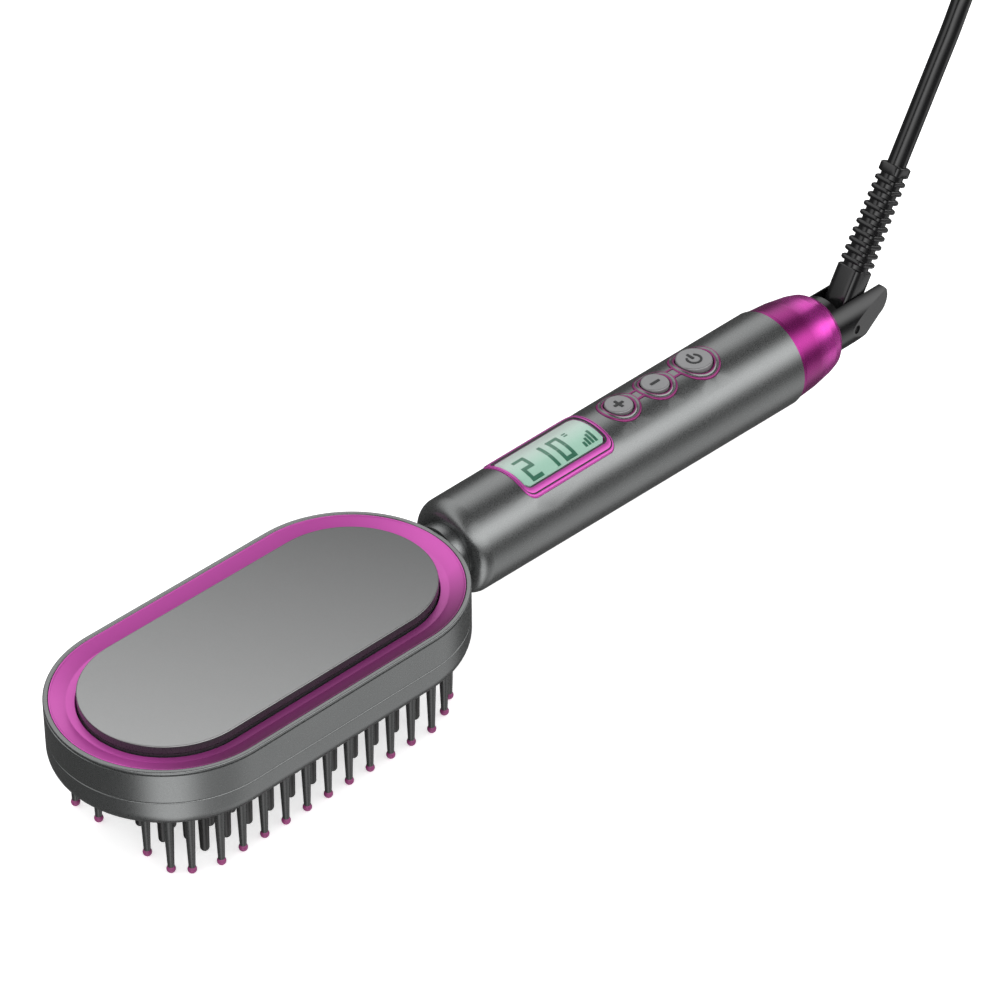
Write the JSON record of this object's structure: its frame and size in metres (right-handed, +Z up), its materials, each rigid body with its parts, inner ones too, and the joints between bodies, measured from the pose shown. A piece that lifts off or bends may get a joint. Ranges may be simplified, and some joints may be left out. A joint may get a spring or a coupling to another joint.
{
  "type": "steam hair straightener brush",
  "caption": "Steam hair straightening brush: oval head with heated comb and lift-off water tank, round handle with display and keys, swivelling cord with a coil and a plug.",
  "frame": {"origin": "under the middle of the length from the head's nose to the cord fork, on the plane of the bristle tips", "axes": "+X along the handle towards the cord, +Y to the left looking along +X, +Z up, away from the bristle tips"},
  "size_m": [0.494, 0.1016, 0.1371],
  "materials": {
    "shell": "satin",
    "accent": "satin metallic",
    "tank": "clear grey",
    "plateau": "satin",
    "seal": "matte",
    "steel": "brushed",
    "white_insulator": "matte",
    "heater": "dark coated",
    "tooth_resin": "matte",
    "sensor": "gloss",
    "wire": "gloss",
    "window": "gloss",
    "lcd": "gloss",
    "key": "satin",
    "electronics": "matte",
    "board": "matte",
    "carrier": "matte",
    "contact": "polished",
    "black_plastic": "satin",
    "cord_rubber": "satin"
  },
  "bodies": {
    "brush": {"upper_shell": "shell", "lower_shell": "shell", "neck_collar": "shell", "barrel": "shell", "handle_cover": "shell", "pin_plate": "shell", "outer_pins": "shell", "accent_tray": "accent", "display_frame": "accent", "button_bezel": "accent", "tail_cap": "accent", "pin_tips": "accent", "steam_cover": "steel", "heater_clamps": "steel", "head_screws": "steel", "cover_screw": "steel", "feed_tube": "white_insulator", "thermal_fuse": "white_insulator", "ptc_heaters": "white_insulator", "heater_plate": "heater", "heated_teeth": "tooth_resin", "thermistor": "sensor", "wiring_loom": "wire", "display_lens": "window", "lcd_module": "lcd", "button_switches": "electronics", "board_parts": "electronics", "main_board": "board", "contact_block": "carrier"},
    "tank": {"tank_body": "tank", "tank_lid": "plateau", "tank_plug": "seal", "tank_valve": "steel", "tank_seal": "seal"},
    "plus_key": {"plus_button": "key"},
    "minus_key": {"minus_button": "key"},
    "power_key": {"power_button": "key"},
    "swivel": {"swivel_fork": "black_plastic", "swivel_clip": "steel", "slip_rings": "contact", "hinge_pin": "steel"},
    "cord": {"strain_relief": "cord_rubber", "power_cord": "cord_rubber", "cord_coil": "cord_rubber", "cord_tie": "carrier", "plug_body": "cord_rubber", "plug_pins": "steel"}
  },
  "joints": [
    {"name": "tank_lift", "type": "slide", "parent": "brush", "child": "tank", "axis": [0, 0, 1], "range_m": [0, 0.025]},
    {"name": "plus_press", "type": "slide", "parent": "brush", "child": "plus_key", "axis": [0, 0, -1], "range_m": [0, 0.0005], "stiffness_N_per_m": 300, "springref_m": -0.001},
    {"name": "minus_press", "type": "slide", "parent": "brush", "child": "minus_key", "axis": [0, 0, -1], "range_m": [0, 0.0005], "stiffness_N_per_m": 300, "springref_m": -0.001},
    {"name": "power_press", "type": "slide", "parent": "brush", "child": "power_key", "axis": [0, 0, -1], "range_m": [0, 0.0005], "stiffness_N_per_m": 300, "springref_m": -0.001},
    {"name": "cord_swivel", "type": "hinge", "parent": "brush", "child": "swivel", "pos_m": [0.1311, 0, 0.031], "axis": [1, 0, 0], "continuous": true},
    {"name": "cord_tilt", "type": "hinge", "parent": "swivel", "child": "cord", "pos_m": [0.1401, 0, 0.031], "axis": [0, -1, 0], "range_deg": [-60, 30]}
  ]
}
